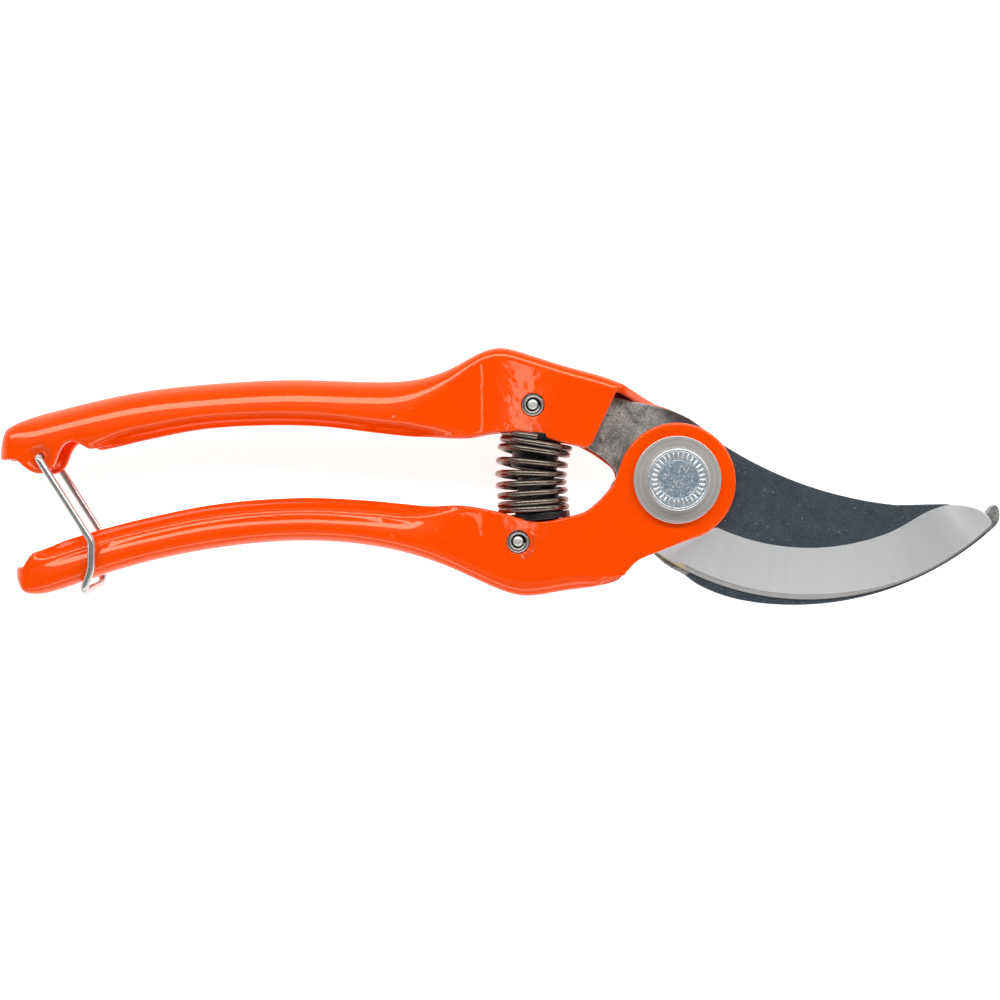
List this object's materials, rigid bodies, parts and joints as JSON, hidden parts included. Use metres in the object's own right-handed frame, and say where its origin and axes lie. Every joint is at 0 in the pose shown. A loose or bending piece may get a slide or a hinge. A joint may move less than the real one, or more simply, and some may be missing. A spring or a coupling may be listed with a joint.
{
  "type": "pruning shears",
  "caption": "Bypass pruning shears with pressed steel handles, a curved cutting blade over a hooked counter blade, a return spring and a wire catch.",
  "frame": {"origin": "on the pivot axis, on the nut's flat end face, which lies on the table", "axes": "+X towards the blade tips, +Y from the lower handle to the upper one, +Z along the pivot bolt to its head"},
  "size_m": [0.1986, 0.0511, 0.0186],
  "materials": {
    "handle_paint": "glossy powder coat",
    "blade_steel": "ground bevel with a dark coated flat",
    "hook_coating": "satin dark coating, bare at the tang",
    "pin_steel": "satin",
    "zinc_plate": "zinc plated, bluish",
    "washer_steel": "turned",
    "black_plastic": "moulded",
    "spring_steel": "oil tempered, brown",
    "bright_wire": "bright nickel"
  },
  "bodies": {
    "upper_side": {"upper_handle": "handle_paint", "counter_blade": "hook_coating", "upper_pin": "pin_steel", "upper_spring_seat": "black_plastic", "pivot_bolt": "zinc_plate", "front_washer": "washer_steel", "rear_washer": "washer_steel", "pivot_nut": "zinc_plate", "spring": "spring_steel"},
    "lower_side": {"lower_handle": "handle_paint", "cutting_blade": "blade_steel", "lower_pin": "pin_steel", "lower_spring_seat": "black_plastic"},
    "catch": {"catch_loop": "bright_wire"}
  },
  "joints": [
    {"name": "blade_pivot", "type": "hinge", "parent": "upper_side", "child": "lower_side", "pos_m": [0, 0, 0], "axis": [0, 0, 1], "range_deg": [0, 36], "deforming": ["spring"]},
    {"name": "catch_swing", "type": "hinge", "parent": "upper_side", "child": "catch", "pos_m": [-0.1258, 0.0044, 0], "axis": [0, 0, -1], "range_deg": [0, 250]}
  ]
}
